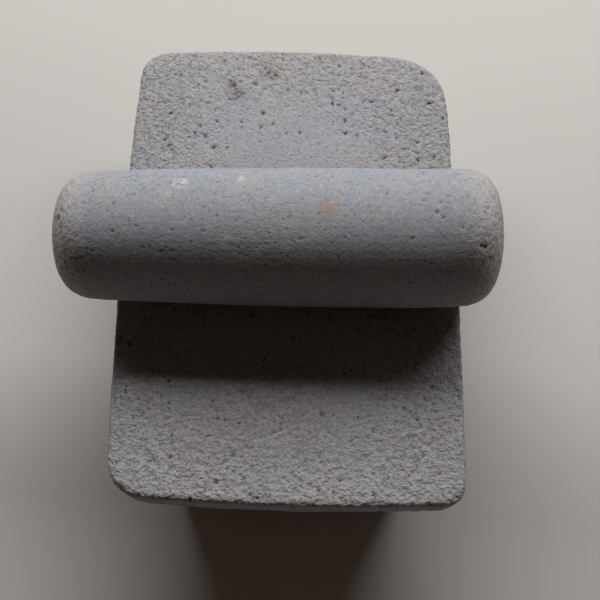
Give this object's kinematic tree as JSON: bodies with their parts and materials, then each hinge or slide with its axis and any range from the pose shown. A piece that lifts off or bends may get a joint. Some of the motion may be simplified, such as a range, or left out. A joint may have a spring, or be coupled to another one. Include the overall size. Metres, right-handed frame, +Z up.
{
  "type": "saddle quern",
  "caption": "Dished rectangular stone slab with a lip and a tapered body on a flat foot, and a loose barrel-shaped roller stone lying across it for grinding grain, spice or pigment by hand.",
  "frame": {"origin": "Middle of the flat foot's underside, on the ground.", "axes": "+Z is up. +X runs across the slab to the right and along the roller. +Y runs along the slab, from the user's end to the far end. The user kneels on the -Y side and pushes the roller along Y."},
  "size_m": [0.2684, 0.3255, 0.1693],
  "materials": {
    "weathered_stone": "matte",
    "worn_stone": "matte"
  },
  "bodies": {
    "root": {"quern_slab": "weathered_stone", "roller_stone": "worn_stone"}
  },
  "joints": []
}
